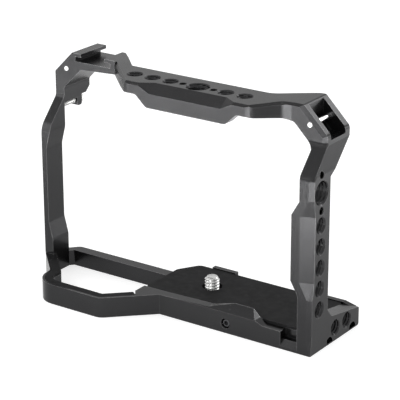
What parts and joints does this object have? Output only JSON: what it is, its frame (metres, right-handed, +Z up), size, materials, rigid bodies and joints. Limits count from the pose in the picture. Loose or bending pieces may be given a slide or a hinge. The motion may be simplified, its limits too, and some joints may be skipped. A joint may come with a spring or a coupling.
{
  "type": "camera cage",
  "caption": "Machined cage that closes round a mirrorless camera body, with a cold shoe, strap corners with pins, threaded accessory holes, an open grip loop and a captive camera screw.",
  "frame": {"origin": "middle of the footprint on the face that the cage stands on", "axes": "+X to the viewer's right seen from the front, which is the side without the hand grip; +Y to the back, towards the viewer; +Z up"},
  "size_m": [0.1436, 0.056, 0.0998],
  "materials": {
    "anodised": "fine bead blasted, black anodised",
    "pin_steel": "turned and polished stainless steel",
    "screw_steel": "turned stainless steel",
    "black_steel": "blackened steel",
    "silicone": "matt moulded silicone",
    "nylon": "plain moulded nylon",
    "driver_aluminium": "black anodised, ring grooves",
    "nickel": "nickel plated magnet"
  },
  "bodies": {
    "frame": {"top_beam": "anodised", "cold_shoe": "anodised", "grip_corner": "anodised", "grip_leg": "anodised", "strap_corner": "anodised", "side_leg": "anodised", "side_foot": "anodised", "front_sill": "anodised", "base_plate": "anodised", "grip_loop": "anodised", "rear_rail": "anodised", "grip_strap_pin": "pin_steel", "side_strap_pin": "pin_steel", "base_pad": "silicone", "loop_pad": "silicone", "side_pad": "silicone", "driver_magnets": "nickel", "sill_grub_screw": "black_steel", "sill_grub_tip": "nylon"},
    "screw_carriage": {"screw_washer": "nylon"},
    "camera_screw": {"camera_screw": "screw_steel"},
    "eyelet_carriage": {"eyelet_ring": "silicone"},
    "eyelet_screw": {"eyelet_screw": "screw_steel"},
    "screwdriver": {"driver_shaft": "screw_steel", "driver_grip": "driver_aluminium"}
  },
  "joints": [
    {"name": "camera_screw_travel", "type": "slide", "parent": "frame", "child": "screw_carriage", "axis": [0, 0, -1], "range_m": [0, 0.0048]},
    {"name": "camera_screw_turn", "type": "hinge", "parent": "screw_carriage", "child": "camera_screw", "pos_m": [0.01075, 0.0095, 0.002], "axis": [0, 0, -1], "range_deg": [0, 1362]},
    {"name": "eyelet_screw_travel", "type": "slide", "parent": "frame", "child": "eyelet_carriage", "axis": [0, 1, 0], "range_m": [0, 0.0108]},
    {"name": "eyelet_screw_turn", "type": "hinge", "parent": "eyelet_carriage", "child": "eyelet_screw", "pos_m": [-0.0695, 0.0142, 0.0751], "axis": [0, 1, 0], "range_deg": [0, 8641]},
    {"name": "screwdriver_out", "type": "slide", "parent": "frame", "child": "screwdriver", "axis": [0, 0, -1], "range_m": [0, 0.012]}
  ],
  "couplings": [
    {"joint": "camera_screw_turn", "follows": "camera_screw_travel", "rad_per_m": 4947.4},
    {"joint": "eyelet_screw_turn", "follows": "eyelet_screw_travel", "rad_per_m": 13963}
  ]
}
